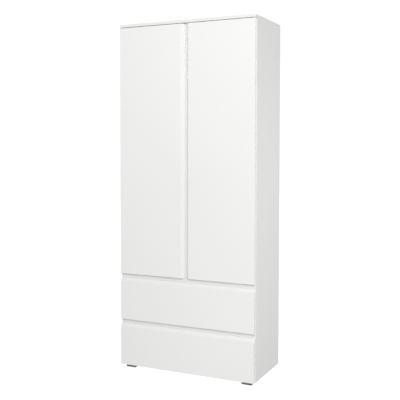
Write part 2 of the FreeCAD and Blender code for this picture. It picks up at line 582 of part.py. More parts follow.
def runners(name, floor):
    """Cabinet runners on the side panels, drawer runners under the box, and their nylon glides."""
    steel = "Sizes.runner_steel"
    low = f"({floor} - 5)"
    long = "Sizes.box_length"
    moving = []
    moving_glides = []
    fixed_glides = []
    for side in ("left", "right"):
        web = box(mirrored_x(side, f"({INNER} - {steel})", steel), CARCASS_FRONT, low, steel, long,
                  "Sizes.runner_height")
        ledge = box(mirrored_x(side, f"({INNER} - Sizes.runner_flange)", "Sizes.runner_flange"),
                    CARCASS_FRONT, low, "Sizes.runner_flange", long, steel)
        lip = box(mirrored_x(side, f"({INNER} - 5)", "5"), CARCASS_FRONT,
                  f"({low} + Sizes.runner_height - {steel})", "5", long, steel)
        keep(fuse(web, ledge, lip), f"{name}_{side}_cabinet_runner")
        under = box(mirrored_x(side, f"({BOX_SIDE_OUTER} - Sizes.box_board)", f"(Sizes.box_board + {steel})"),
                    f"({FRONT_REAR} + 4)", f"({floor} - {steel})", f"(Sizes.box_board + {steel})",
                    "(Sizes.box_length - 4)", steel)
        upright = box(mirrored_x(side, BOX_SIDE_OUTER, steel), f"({FRONT_REAR} + 4)",
                      f"({floor} - {steel})", steel, "(Sizes.box_length - 4)",
                      f"(Sizes.runner_web + {steel})")
        rim = box(mirrored_x(side, BOX_SIDE_OUTER, "8.5"), f"({FRONT_REAR} + 4)",
                  f"({floor} + Sizes.runner_web)", "8.5", "(Sizes.box_length - 4)", steel)
        moving.append(fuse(under, upright, rim))
        moving_glides.append(box(mirrored_x(side, f"({BOX_SIDE_OUTER} + {steel})", "Sizes.glide_width"),
                                 f"({FRONT_REAR} + Sizes.box_length - Sizes.glide_length)",
                                 f"({low} + {steel} + Sizes.slide_play)", "Sizes.glide_width",
                                 "Sizes.glide_length", "Sizes.glide_height"))
        fixed_width = f"(Sizes.runner_gap - 2 * {steel} - Sizes.slide_play)"
        fixed_glides.append(box(mirrored_x(side, f"({INNER} - {steel} - {fixed_width})", fixed_width),
                                f"({CARCASS_FRONT} + 4)", f"({low} + {steel})", fixed_width,
                                "Sizes.glide_length", "Sizes.glide_height"))
    keep(group(*moving), f"{name}_drawer_runners")
    keep(group(*moving_glides), f"{name}_drawer_glides")
    keep(group(*fixed_glides), f"{name}_cabinet_glides")


drawer("lower", "Sizes.foot_height")
drawer("upper", UPPER_DRAWER)

runner_screws = []
for level in ("Sizes.foot_height", UPPER_DRAWER):
    for side, sign, tip, inward in (("left", "-", "-X", "1"), ("right", "", "+X", "(-1)")):
        for y in ("37", "165", "293"):
            runner_screws.append(screw(f"({sign}{INNER} + {inward} * Sizes.runner_steel)",
                                       f"({CARCASS_FRONT} + {y})",
                                       f"({level} + Sizes.box_lift + 9)", tip))
keep(group(*runner_screws), "runner_screws")

bumpers = []
bumper_levels = [f"({level} + {up})" for level in ("Sizes.foot_height", UPPER_DRAWER)
                 for up in ("15", "200")]
for level in bumper_levels:
    for sign in ("-", ""):
        bumpers.append(rod(f"{sign}({INNER} + 5)", CARCASS_FRONT, level, "Sizes.bumper_radius",
                           "Sizes.bumper_height", "-Y"))
keep(group(*bumpers), "drawer_bumpers")

# --- check and write --------------------------------------------------------------------------------

doc.recompute()
for item in doc.Objects:
    if {"Invalid", "Error"} & set(item.State):
        raise RuntimeError(f"{item.Name} ({item.Label}) failed: {item.State}")
for item in PARTS:
    if item.Shape.isNull() or not item.Shape.isValid() or not item.Shape.Solids:
        raise RuntimeError(f"{item.Label} has no valid solid")

os.makedirs("parts", exist_ok=True)
for item in PARTS:
    item.Shape.exportStep(f"parts/{item.Label}.step")
print(len(PARTS), "sub-parts written")
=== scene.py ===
# %% [markdown]
# # A white two-door wardrobe, finished in Blender
#
# The measured frame comes first: every board, hinge, runner and screw of the wardrobe, in metres,
# with the floor at z = 0 and the doors facing -Y. Nothing in that frame is moved. What this lesson
# adds is what the eye meets: fronts with eased edges, finishes that look like lacquer, melamine,
# steel and moulded plastic, and a bright studio round them.

# %% Load the frame
import json
import math
import bpy
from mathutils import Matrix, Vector

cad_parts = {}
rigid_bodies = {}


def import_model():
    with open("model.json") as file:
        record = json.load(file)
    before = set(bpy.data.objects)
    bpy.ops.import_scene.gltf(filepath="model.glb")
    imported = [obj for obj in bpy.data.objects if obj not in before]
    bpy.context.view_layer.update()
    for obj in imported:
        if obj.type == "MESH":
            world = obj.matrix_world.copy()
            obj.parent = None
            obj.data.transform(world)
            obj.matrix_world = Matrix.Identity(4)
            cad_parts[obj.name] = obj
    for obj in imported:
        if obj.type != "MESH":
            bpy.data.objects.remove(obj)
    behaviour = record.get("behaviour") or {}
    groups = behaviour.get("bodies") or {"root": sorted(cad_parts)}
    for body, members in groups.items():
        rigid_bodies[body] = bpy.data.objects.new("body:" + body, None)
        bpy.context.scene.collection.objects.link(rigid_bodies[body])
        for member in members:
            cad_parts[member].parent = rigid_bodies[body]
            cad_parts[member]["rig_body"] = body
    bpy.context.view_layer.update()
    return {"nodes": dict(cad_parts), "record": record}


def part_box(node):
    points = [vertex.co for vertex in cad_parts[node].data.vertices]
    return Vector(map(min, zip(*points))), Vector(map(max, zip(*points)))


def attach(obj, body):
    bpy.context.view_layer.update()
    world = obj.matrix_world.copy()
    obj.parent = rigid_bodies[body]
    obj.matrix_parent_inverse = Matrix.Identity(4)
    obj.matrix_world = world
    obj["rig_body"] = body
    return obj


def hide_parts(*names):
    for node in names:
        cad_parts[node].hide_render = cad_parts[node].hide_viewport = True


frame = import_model()
MM = 0.001

# %% [markdown]
# ## The camera
#
# Furniture is shown with a nearly level camera, so that upright edges stay upright, and most of the
# way down is made by shifting the picture instead of tilting the lens. Tilting alone would be
# simpler, but the sides of a two metre tall body would then lean together.

# %% Camera
LENS_MM = 64.74
CAMERA_PLACE = (1.703, -3.755, 1.284)
CAMERA_TURN = math.radians(26.21)
CAMERA_TILT = math.radians(87.5)
LENS_SHIFT = (0.0572, -0.0585)
SENSOR_MM = 36

bpy.ops.object.camera_add(location=CAMERA_PLACE, rotation=(CAMERA_TILT, 0, CAMERA_TURN))
camera = bpy.context.object
camera.name = "studio_camera"
camera.data.lens = LENS_MM
camera.data.sensor_width = SENSOR_MM
camera.data.shift_x, camera.data.shift_y = LENS_SHIFT
bpy.context.scene.camera = camera
bpy.context.scene.view_settings.view_transform = "Standard"
print("camera at", CAMERA_PLACE, "lens", LENS_MM, "mm")

# %% [markdown]
# ## Helpers for materials and light
#
# Colours are written as sRGB hex codes, which are easy to pick and compare, but shaders count in
# linear light. Every code therefore goes through one function. A second one adds a shader node,
# sets it and links it in a single line, so that a material reads like a recipe. A third starts an
# empty material.


# %% Colours, nodes and materials
def linear(code):
    """An sRGB hex colour, such as "F4F5F6", as linear RGBA."""
    shares = [int(code[i:i + 2], 16) / 255 for i in (0, 2, 4)]
    curve = [s / 12.92 if s <= 0.04045 else ((s + 0.055) / 1.055) ** 2.4 for s in shares]
    return (*curve, 1.0)


def node(tree, kind, settings, links=None):
    """Adds a shader node with its settings, inputs or properties, and its links by input."""
    made = tree.nodes.new(kind)
    for name, setting in settings.items():
        if isinstance(name, int) or name in made.inputs:
            made.inputs[name].default_value = setting
        else:
            setattr(made, name, setting)
    for name, source in (links or {}).items():
        tree.links.new(source, made.inputs[name])
    return made


def fresh_material(name):
    """A new material, its node tree emptied, and an output node."""
    material = bpy.data.materials.new(name)
    material.use_nodes = True
    tree = material.node_tree
    tree.nodes.clear()
    print("finish:", name)
    return material, tree, tree.nodes.new("ShaderNodeOutputMaterial")


print("half grey in linear light:", round(linear("808080")[0], 3))

# %% [markdown]
# ## The studio
#
# A catalogue studio is a white room: the light comes from everywhere, and the object shows no hard
# shadow. A closed room of lamps could be built, but an even world is simpler and has no noise. What
# the camera sees of it is a little brighter than what lights the wardrobe, as if a separate lamp
# shone on the backdrop. The floor is painted white and lit until it is as bright as the wall. It is
# hidden from the reflections and the bounced light, or its glow would wash out the low parts of the
# body. Four softboxes do the rest. A large one in front, high on the right, makes the fronts
# brighter than the side and their upper right corner the brightest of all. Two small weak ones fill
# the side, and a low strip lifts the drawers. The strip is hidden from reflections, or the lacquer
# would mirror it.

# %% The white room
WORLD_LIGHT = 0.46
WORLD_SEEN = 1.05

world = bpy.data.worlds.new("white_room")
bpy.context.scene.world = world
world.use_nodes = True
world.node_tree.nodes.clear()
air = world.node_tree
path = node(air, "ShaderNodeLightPath", {})
lit = node(air, "ShaderNodeBackground", {"Color": linear("FFFFFF"), "Strength": WORLD_LIGHT})
seen = node(air, "ShaderNodeBackground", {"Color": linear("FFFFFF"), "Strength": WORLD_SEEN})
mixed = node(air, "ShaderNodeMixShader", {}, {0: path.outputs["Is Camera Ray"],
                                             1: lit.outputs[0], 2: seen.outputs[0]})
node(air, "ShaderNodeOutputWorld", {}, {"Surface": mixed.outputs[0]})
print("world lights with", WORLD_LIGHT, "and is seen at", WORLD_SEEN)

# %% The pale floor
FLOOR_RADIUS = 14.0
FLOOR_SIDES = 96
FLOOR_GLOW = 1.0

bpy.ops.object.select_all(action="DESELECT")
bpy.ops.mesh.primitive_circle_add(vertices=FLOOR_SIDES, radius=FLOOR_RADIUS, fill_type="NGON")
floor = bpy.context.object
floor.name = "studio_floor"
floor.visible_diffuse = False
floor.visible_glossy = False
paint, tree, output = fresh_material("pale_floor_paint")
shine = node(tree, "ShaderNodeBsdfPrincipled", {"Base Color": linear("6A6A6A"), "Roughness": 0.9,
                                                "Emission Color": linear("FFFFFF"),
                                                "Emission Strength": FLOOR_GLOW})
tree.links.new(shine.outputs[0], output.inputs["Surface"])
floor.data.materials.append(paint)
print("floor:", 2 * FLOOR_RADIUS, "m across")


# %% Soft lights
def softbox(name, place, aim, size, power):
    """A flat area light that looks from its place at a point."""
    bpy.ops.object.light_add(type="AREA", location=place)
    lamp = bpy.context.object
    lamp.name = name
    lamp.data.shape = "RECTANGLE"
    lamp.data.size, lamp.data.size_y = size
    lamp.data.energy = power
    x, y, z = (a - b for a, b in zip(aim, place))
    lamp.rotation_euler = (math.atan2(math.hypot(x, y), -z), 0, math.atan2(y, x) - math.pi / 2)
    print(name, power, "W")
    return lamp


softbox("key_softbox", place=(2.0, -4.6, 3.0), aim=(0.1, 0, 1.2), size=(2.6, 2.6), power=166)
softbox("side_softbox", place=(2.0, 0.1, 1.35), aim=(0.4, 0, 1.3), size=(0.8, 0.8), power=4.4)
softbox("low_side_softbox", place=(2.2, 0.4, 0.5), aim=(0.4, 0, 0.3), size=(0.8, 0.8), power=4.9)
low_front = softbox("low_front_softbox", place=(0.25, -1.1, 0.1), aim=(0.2, -0.2, 0.1),
                    size=(1.0, 0.1), power=0.42)
low_front.visible_glossy = False


# %% [markdown]
# ## Finishes
#
# Each finish is named for the real material and the way its surface was made. White goods live on
# small differences: the fronts are sprayed and polished, so they mirror the room softly; the body
# is melamine-faced board, pressed against a fine plate, so it only glows; the fittings are
# zinc-plated or chromed steel; the feet are moulded plastic. Every pattern is sized in millimetres,
# and its scale is one divided by that size, because Object coordinates count in metres.
#
# ### Lacquered board
#
# The fronts are medium density fibreboard, sprayed with polyurethane lacquer and polished. A plain
# glossy white would do from afar. Two things make it lacquer: the orange peel, ripples some four
# millimetres across, and a slow drift of tone over most of a metre, because no sprayed coat is
# even.


# %% Lacquered board
def lacquered_mdf():
    """Sprayed, polished polyurethane lacquer on MDF: a deep even white with a soft mirror.

    The eye gets a bright even white, a clear but gentle reflection, and the faint orange peel
    that a sprayed coat keeps.
    """
    material, tree, output = fresh_material("gloss_lacquered_mdf")
    at = node(tree, "ShaderNodeTexCoord", {})
    peel_size, drift_size = 4 * MM, 770 * MM
    drift = node(tree, "ShaderNodeTexNoise", {"Scale": 1 / drift_size, "Detail": 1.0},
                 {"Vector": at.outputs["Object"]})
    tint = node(tree, "ShaderNodeMix",
                {"data_type": "RGBA", 6: linear("F4F4F3"), 7: linear("F8F8F7")},
                {0: drift.outputs["Fac"]})
    peel = node(tree, "ShaderNodeTexNoise", {"Scale": 1 / peel_size, "Detail": 2.0},
                {"Vector": at.outputs["Object"]})
    bump = node(tree, "ShaderNodeBump", {"Strength": 0.25, "Distance": 0.02 * MM},
                {"Height": peel.outputs["Fac"]})
    haze = node(tree, "ShaderNodeMapRange", {"To Min": 0.10, "To Max": 0.17},
                {"Value": drift.outputs["Fac"]})
    shine = node(tree, "ShaderNodeBsdfPrincipled",
                 {"IOR": 1.5, "Coat Weight": 0.3, "Coat Roughness": 0.06},
                 {"Base Color": tint.outputs[2], "Roughness": haze.outputs[0],
                  "Normal": bump.outputs[0]})
    tree.links.new(shine.outputs[0], output.inputs["Surface"])
    return material


# %% [markdown]
# ### Melamine-faced board
#
# The body is chipboard with a melamine film pressed on, hard and satin. It could be a plain white
# too, but the plate that presses the film leaves a fine pearl grain, and that grain is why the
# board glows instead of mirroring. The same recipe, a little greyer and duller, serves the inside
# boards and the foil round the drawer sides.


# %% Melamine-faced board
def melamine(name, white, shade, roughness):
    """Melamine film pressed on chipboard: a hard satin white with a fine pearl grain.

    The eye gets an even white that glows without mirroring, because the pressed grain, about half a
    millimetre across, scatters the reflection. It is drawn at 1.2 mm so that it shows.
    """
    material, tree, output = fresh_material(name)
    at = node(tree, "ShaderNodeTexCoord", {})
    grain_size, cloud_size = 1.2 * MM, 450 * MM
    grain = node(tree, "ShaderNodeTexNoise", {"Scale": 1 / grain_size, "Detail": 3.0},
                 {"Vector": at.outputs["Object"]})
    cloud = node(tree, "ShaderNodeTexNoise", {"Scale": 1 / cloud_size, "Detail": 2.0},
                 {"Vector": at.outputs["Object"]})
    tint = node(tree, "ShaderNodeMix", {"data_type": "RGBA", 6: linear(shade), 7: linear(white)},
                {0: cloud.outputs["Fac"]})
    spread = 0.05
    rough = node(tree, "ShaderNodeMapRange",
                 {"To Min": roughness - spread, "To Max": roughness + spread},
                 {"Value": grain.outputs["Fac"]})
    bump = node(tree, "ShaderNodeBump", {"Strength": 0.35, "Distance": 0.03 * MM},
                {"Height": grain.outputs["Fac"]})
    shine = node(tree, "ShaderNodeBsdfPrincipled", {"IOR": 1.5},
                 {"Base Color": tint.outputs[2], "Roughness": rough.outputs[0],
                  "Normal": bump.outputs[0]})
    tree.links.new(shine.outputs[0], output.inputs["Surface"])
    return material


# %% [markdown]
# ### Moulded plastic and rubber
#
# The glides, sockets and drawer bumpers are injection moulded. The steel mould is spark-eroded,
# which gives the plastic an even skin of fine grains. Bump and roughness can come from one and the
# same noise, because the raised grains are also the duller ones.


# %% Plain moulded plastic and rubber
def moulded(name, colour, roughness):
    """Injection-moulded plastic or rubber.

    The eye gets an even colour under a fine spark-eroded grain that dulls the shine.
    """
    material, tree, output = fresh_material(name)
    at = node(tree, "ShaderNodeTexCoord", {})
    grain_size = 0.8 * MM
    grain = node(tree, "ShaderNodeTexNoise", {"Scale": 1 / grain_size, "Detail": 2.0},
                 {"Vector": at.outputs["Object"]})
    bump = node(tree, "ShaderNodeBump", {"Strength": 0.5, "Distance": 0.04 * MM},
                {"Height": grain.outputs["Fac"]})
    spread = 0.06
    rough = node(tree, "ShaderNodeMapRange",
                 {"To Min": roughness - spread, "To Max": roughness + spread},
                 {"Value": grain.outputs["Fac"]})
    shine = node(tree, "ShaderNodeBsdfPrincipled", {"Base Color": linear(colour), "IOR": 1.49},
                 {"Roughness": rough.outputs[0], "Normal": bump.outputs[0]})
    tree.links.new(shine.outputs[0], output.inputs["Surface"])
    return material


# %% [markdown]
# ### Plated metal
#
# Screws, runners and hinges are zinc-plated steel, the cams are die-cast zinc, and the clothes rail
# is chromed. All are metals under a thin bright plating, and differ in how straight the marks of
# their making run. One noise, stretched by three real lengths, gives the long lines of a drawn
# tube, the short ones of rolled strip or the even cloud of tumbling.


# %% Metals
def plated(name, colour, roughness, marks_mm):
    """Plated metal.

    The eye gets a grey mirror, broken by the marks that drawing, rolling or tumbling left.
    """
    material, tree, output = fresh_material(name)
    at = node(tree, "ShaderNodeTexCoord", {})
    stretch = [1 / (length * MM) for length in marks_mm]
    along = node(tree, "ShaderNodeMapping", {"Scale": stretch}, {"Vector": at.outputs["Object"]})
    streaks = node(tree, "ShaderNodeTexNoise", {"Scale": 1.0, "Detail": 3.0},
                   {"Vector": along.outputs[0]})
    smoother, rougher = 0.7, 1.4
    rough = node(tree, "ShaderNodeMapRange",
                 {"To Min": roughness * smoother, "To Max": roughness * rougher},
                 {"Value": streaks.outputs["Fac"]})
    shine = node(tree, "ShaderNodeBsdfPrincipled", {"Base Color": linear(colour), "Metallic": 1.0},
                 {"Roughness": rough.outputs[0]})
    tree.links.new(shine.outputs[0], output.inputs["Surface"])
    return material


# %% [markdown]
# ### Hardboard
#
# The back is three millimetres of pressed wood fibre, painted white on the side that faces the
# clothes and left bare on the side that faces the wall. Two materials on two sets of faces would do
# the same, but the sheet is one piece, so one material asks which way a face looks and picks the
# side.


# %% Hardboard
def hardboard():
    """Thin hardboard, painted white inside and bare outside.

    The eye gets a smooth dull white among the clothes, and flecked brown fibre behind.
    """
    material, tree, output = fresh_material("white_faced_hardboard")
    at = node(tree, "ShaderNodeTexCoord", {})
    shape = node(tree, "ShaderNodeNewGeometry", {})
    facing = node(tree, "ShaderNodeSeparateXYZ", {}, {"Vector": shape.outputs["Normal"]})
    bare = node(tree, "ShaderNodeMath", {"operation": "GREATER_THAN", 1: 0.5},
                {0: facing.outputs["Y"]})
    fibre_size, cloud_size = 3.8 * MM, 200 * MM
    fibre = node(tree, "ShaderNodeTexNoise",
                 {"Scale": 1 / fibre_size, "Detail": 5.0, "Roughness": 0.7},
                 {"Vector": at.outputs["Object"]})
    cloud = node(tree, "ShaderNodeTexNoise", {"Scale": 1 / cloud_size, "Detail": 3.0},
                 {"Vector": at.outputs["Object"]})
    fleck = node(tree, "ShaderNodeMix",
                 {"data_type": "RGBA", 6: linear("6E5136"), 7: linear("A98660")},
                 {0: fibre.outputs["Fac"]})
    brown = node(tree, "ShaderNodeMix",
                 {"data_type": "RGBA", "blend_type": "MULTIPLY", 7: linear("D9CDBF")},
                 {0: cloud.outputs["Fac"], 6: fleck.outputs[2]})
    sides = node(tree, "ShaderNodeMix", {"data_type": "RGBA", 6: linear("EFF0F0")},
                 {0: bare.outputs[0], 7: brown.outputs[2]})
    rough = node(tree, "ShaderNodeMapRange", {"To Min": 0.45, "To Max": 0.75},
                 {"Value": bare.outputs[0]})
    bump = node(tree, "ShaderNodeBump", {"Strength": 0.4, "Distance": 0.05 * MM},
                {"Height": fibre.outputs["Fac"]})
    shine = node(tree, "ShaderNodeBsdfPrincipled", {"IOR": 1.45},
                 {"Base Color": sides.outputs[2], "Roughness": rough.outputs[0],
                  "Normal": bump.outputs[0]})
    tree.links.new(shine.outputs[0], output.inputs["Surface"])
    return material


# %% [markdown]
# ### One finish for each kind of part
#
# The record sorts every part into a slot, such as front, body board or plated steel. Making one
# finish for each slot and handing them out by name keeps equal parts equal, which painting them one
# by one would not. The clothes rail's marks run along it, so they are long in X; the runners' run
# along Y.

# %% Make the finishes, one for each of the record's material slots
finishes = {
    "gloss_white_front": lacquered_mdf(),
    "white_body_board": melamine("satin_melamine_board", "F2F2F1", "EDEDEC", 0.34),
    "inner_board": melamine("inner_melamine_board", "F1F1F0", "EBEBEA", 0.42),
    "drawer_board": melamine("foil_wrapped_board", "E9E9E8", "E2E2E0", 0.46),
    "hardboard": hardboard(),
    "grey_plastic": moulded("grey_moulded_polypropylene", "7C7C7D", 0.45),
    "white_plastic": moulded("white_moulded_polystyrene", "E4E5E4", 0.35),
    "clear_rubber": moulded("milky_silicone", "D9DBDA", 0.25),
    "chromed_tube": plated("chromed_steel_tube", "D5D6D8", 0.06, (25, 1.1, 1.1)),
    "zinc_alloy": plated("tumbled_die_cast_zinc", "A9AAAC", 0.38, (2, 2, 2)),
    "plated_steel": plated("zinc_plated_steel", "B9BBBE", 0.28, (2.9, 17, 2.9)),
}
for part in frame["record"]["subparts"]:
    shown = frame["nodes"][part["node"]]
    shown.data.materials.clear()
    shown.data.materials.append(finishes[part["material_slot"]])
print("finishes:", ", ".join(sorted(finishes)))

# %% [markdown]
# ## Tools for boards
#
# A board starts as a cube at the exact place of its frame node. Its own features are cut in edit
# mode or with a boolean, and then every edge is eased by a fraction of a millimetre, because no
# real edge is perfectly sharp and the thin highlight along an eased edge is what makes a board look
# solid. Weighted normals keep the wide faces flat in the light after that.


# %% Selecting and starting a block
SAME_PLACE = 0.1 * MM
FACING = 0.9


def only(*chosen):
    """Selects just these objects; the first is active."""
    bpy.ops.object.select_all(action="DESELECT")
    for item in chosen:
        item.select_set(True)
    bpy.context.view_layer.objects.active = chosen[0]


def block(name, low, high):
    """A cube stretched between two corners, with its place and size in its mesh."""
    bpy.ops.object.select_all(action="DESELECT")
    bpy.ops.mesh.primitive_cube_add(size=1, location=[(a + b) / 2 for a, b in zip(low, high)])
    piece = bpy.context.object
    piece.name = name
    piece.scale = [b - a for a, b in zip(low, high)]
    bpy.ops.object.transform_apply(location=True, rotation=True, scale=True)
    return piece


def clear_picks(piece, kind):
    """Leaves nothing selected in a piece, ready to pick its edges or faces by their place."""
    only(piece)
    bpy.ops.object.mode_set(mode="EDIT")
    bpy.ops.mesh.select_mode(type=kind)
    bpy.ops.mesh.select_all(action="DESELECT")
    bpy.ops.object.mode_set(mode="OBJECT")


def pick_edges(piece, test):
    """Enters edit mode with only the edges selected whose two end points both pass a test."""
    clear_picks(piece, "EDGE")
    points = piece.data.vertices
    for edge in piece.data.edges:
        edge.select = all(test(points[i].co) for i in edge.vertices)
    bpy.ops.object.mode_set(mode="EDIT")


def pick_faces(piece, test):
    """Enters edit mode with only the faces selected whose centre and normal pass a test."""
    clear_picks(piece, "FACE")
    for face in piece.data.polygons:
        face.select = test(face.center, face.normal)
    bpy.ops.object.mode_set(mode="EDIT")


def near(a, b):
    """Whether two coordinates are the same to a tenth of a millimetre."""
    return abs(a - b) < SAME_PLACE


def round_corners(piece, axis, radius, steps=5):
    """Rounds the edges of a block that run along one axis."""
    clear_picks(piece, "EDGE")
    for edge in piece.data.edges:
        a, b = (piece.data.vertices[i].co for i in edge.vertices)
        edge.select = not near(a[axis], b[axis])
    bpy.ops.object.mode_set(mode="EDIT")
    bpy.ops.mesh.bevel(offset=radius, segments=steps)
    bpy.ops.object.mode_set(mode="OBJECT")


print("coordinates closer than", SAME_PLACE, "m are the same place")


# %% Modifiers, holes and eased edges
OVERSHOOT = 1 * MM
DRILL_SIDES = 40
SHARP_ANGLE = math.radians(25)
SMOOTH_ANGLE = math.radians(40)
FACE_WEIGHT = 80


def apply_modifier(piece, kind, **settings):
    """Adds a modifier, sets it and applies it at once."""
    only(piece)
    bpy.ops.object.modifier_add(type=kind)
    modifier = piece.modifiers[-1]
    for name, setting in settings.items():
        setattr(modifier, name, setting)
    bpy.ops.object.modifier_apply(modifier=modifier.name)


def drill(piece, places, radius, depth, way):
    """Cuts blind round holes, each from a point and a depth along way, -1 or 1 on one axis."""
    turn = {0: (0, math.radians(90), 0), 1: (math.radians(90), 0, 0), 2: (0, 0, 0)}
    axis = next(i for i in range(3) if way[i])
    cutters = []
    for place in places:
        halfway = list(place)
        halfway[axis] += way[axis] * (depth / 2 - OVERSHOOT)
        bpy.ops.mesh.primitive_cylinder_add(vertices=DRILL_SIDES, radius=radius,
                                            depth=depth + 2 * OVERSHOOT,
                                            location=halfway, rotation=turn[axis])
        cutters.append(bpy.context.object)
    only(*cutters)
    if len(cutters) > 1:
        bpy.ops.object.join()
    bpy.ops.object.transform_apply(location=True, rotation=True, scale=True)
    cutter = bpy.context.object
    apply_modifier(piece, "BOOLEAN", operation="DIFFERENCE", solver="EXACT", object=cutter)
    bpy.data.objects.remove(cutter)


def ease_edges(piece, radius, steps=3):
    """Rounds every edge a little, then keeps the wide faces flat in the light."""
    apply_modifier(piece, "BEVEL", width=radius, segments=steps, limit_method="ANGLE",
                   angle_limit=SHARP_ANGLE, harden_normals=False)
    only(piece)
    bpy.ops.object.shade_smooth_by_angle(angle=SMOOTH_ANGLE)
    apply_modifier(piece, "WEIGHTED_NORMAL", keep_sharp=True, weight=FACE_WEIGHT)


print("edges are eased from", round(math.degrees(SHARP_ANGLE)), "degrees up")


# %% Standing for a frame node
def install(piece, node_name, slot):
    """Gives a piece its finish, and lets it ride and stand for its frame node."""
    piece.data.materials.clear()
    piece.data.materials.append(finishes[slot])
    body = frame["nodes"][node_name]["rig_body"]
    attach(piece, body)
    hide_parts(node_name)
    print(piece.name, "stands for", node_name, "with", len(piece.data.polygons), "faces")
    return piece


# %% [markdown]
# ## Doors and drawer fronts
#
# The fronts have no handles. A slanted cut, sixteen millimetres wide, runs down the inner edge of
# each door and along the top of each drawer front, so that fingers find their way behind. The slant
# could be drawn as an outline and extruded, but a single wide bevel on one edge of the board is
# what the router does in the workshop, and it is one operator here too. The doors also get the
# round holes that their hinge cups are pressed into.

# %% The fronts
GRIP_BEVEL = 16 * MM
LACQUER_EDGE = 0.9 * MM
CUP_HOLE_RADIUS = 17.6 * MM
CUP_HOLE_DEPTH = 12 * MM
CUP_TO_EAR_END = 31 * MM


def bevelled_front(name, node_name, on_bevel):
    """A front board with the wide slanted cut on the one front edge that passes the test."""
    low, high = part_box(node_name)
    piece = block(name, low, high)
    pick_edges(piece, lambda p: near(p.y, low.y) and on_bevel(p, low, high))
    bpy.ops.mesh.bevel(offset=GRIP_BEVEL, segments=1)
    bpy.ops.object.mode_set(mode="OBJECT")
    return piece


inner_edges = {"left": lambda p, low, high: near(p.x, high.x),
               "right": lambda p, low, high: near(p.x, low.x)}
for side, on_bevel in inner_edges.items():
    door = bevelled_front(f"{side}_door", f"{side}_door_panel", on_bevel)
    back_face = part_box(f"{side}_door_panel")[1].y
    cups_low, cups_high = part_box(f"{side}_hinge_cups")
    cup_x = (cups_low.x + cups_high.x) / 2
    lowest, highest = cups_low.z + CUP_TO_EAR_END, cups_high.z - CUP_TO_EAR_END
    heights = (lowest, (lowest + highest) / 2, highest)
    drill(door, [(cup_x, back_face, z) for z in heights], CUP_HOLE_RADIUS, CUP_HOLE_DEPTH,
          (0, -1, 0))
    ease_edges(door, LACQUER_EDGE)
    install(door, f"{side}_door_panel", "gloss_white_front")

for level in ("upper", "lower"):
    front = bevelled_front(f"{level}_front", f"{level}_drawer_front",
                           lambda p, low, high: near(p.z, high.z))
    ease_edges(front, LACQUER_EDGE)
    install(front, f"{level}_drawer_front", "gloss_white_front")

# %% [markdown]
# ## Body boards
#
# The top lies over everything and shows its front edge. The two sides carry the rows of five
# millimetre holes that the shelf pins sit in, and the larger holes of the cams that pull the top
# down. They are drilled where the frame has its pins and cams.

# %% Top, sides and hat shelf
BAND_EDGE = 0.7 * MM
PIN_HOLE_RADIUS = 2.5 * MM
PIN_HOLE_DEPTH = 9 * MM
PIN_PITCH = 32 * MM
PIN_FROM_EDGE = 4.5 * MM
ROWS_BELOW, ROWS_ABOVE = 2, 2
CAM_HOLE_RADIUS = 7.6 * MM
CAM_HOLE_DEPTH = 12 * MM
CAM_FROM_TOP = 34 * MM
CAM_FROM_EDGE = 60 * MM

top = block("top_board", *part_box("top_panel"))
ease_edges(top, BAND_EDGE)
install(top, "top_panel", "white_body_board")

pins_low, pins_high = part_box("shelf_pins")
pin_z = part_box("hat_shelf")[0].z - PIN_HOLE_RADIUS
pin_rows = [pin_z + i * PIN_PITCH for i in range(-ROWS_BELOW, ROWS_ABOVE + 1)]
for side, inward in (("left", 1), ("right", -1)):
    low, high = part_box(f"{side}_side_panel")
    board = block(f"{side}_side", low, high)
    face = high.x if side == "left" else low.x
    holes = [(face, y, z) for y in (pins_low.y + PIN_FROM_EDGE, pins_high.y - PIN_FROM_EDGE)
             for z in pin_rows]
    drill(board, holes, PIN_HOLE_RADIUS, PIN_HOLE_DEPTH, (-inward, 0, 0))
    top_cams = [(face, y, high.z - CAM_FROM_TOP)
                for y in (low.y + CAM_FROM_EDGE, high.y - CAM_FROM_EDGE)]
    drill(board, top_cams, CAM_HOLE_RADIUS, CAM_HOLE_DEPTH, (-inward, 0, 0))
    ease_edges(board, BAND_EDGE)
    install(board, f"{side}_side_panel", "white_body_board")

shelf = block("hat_shelf_board", *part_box("hat_shelf"))
ease_edges(shelf, BAND_EDGE)
install(shelf, "hat_shelf", "inner_board")

# %% [markdown]
# ## Boards behind the gaps
#
# Two level rails and one upright strip close the body behind the finger gaps, flush with the front
# edges of the sides. From the front they are plain, and each is held by cams, whose holes are on
# the back. The cams are already in the frame, as one node of many small solids. To find where each
# solid sits, its triangles are sorted into groups that share corners, and each group gets its own
# box.


# %% The separate solids of a frame node
def solids_of(node_name):
    """The lowest and highest corner of each separate solid in a node, in a steady order."""
    mesh = frame["nodes"][node_name].data
    spots = [tuple(round(c, 6) for c in v.co) for v in mesh.vertices]
    leader = {spot: spot for spot in spots}

    def lead(spot):
        while leader[spot] != spot:
            leader[spot] = leader[leader[spot]]
            spot = leader[spot]
        return spot

    for face in mesh.polygons:
        first = lead(spots[face.vertices[0]])
        for i in face.vertices[1:]:
            leader[lead(spots[i])] = first
    groups = {}
    for spot in leader:
        groups.setdefault(lead(spot), []).append(spot)
    boxes = [(Vector(map(min, zip(*g))), Vector(map(max, zip(*g)))) for g in groups.values()]
    return sorted(boxes, key=lambda box: tuple(box[0]))


def middle(box):
    """The middle of a box that is given by its lowest and highest corner."""
    return (box[0] + box[1]) / 2


cams = [middle(box) for box in solids_of("cam_fittings")]
print("cams:", len(cams))

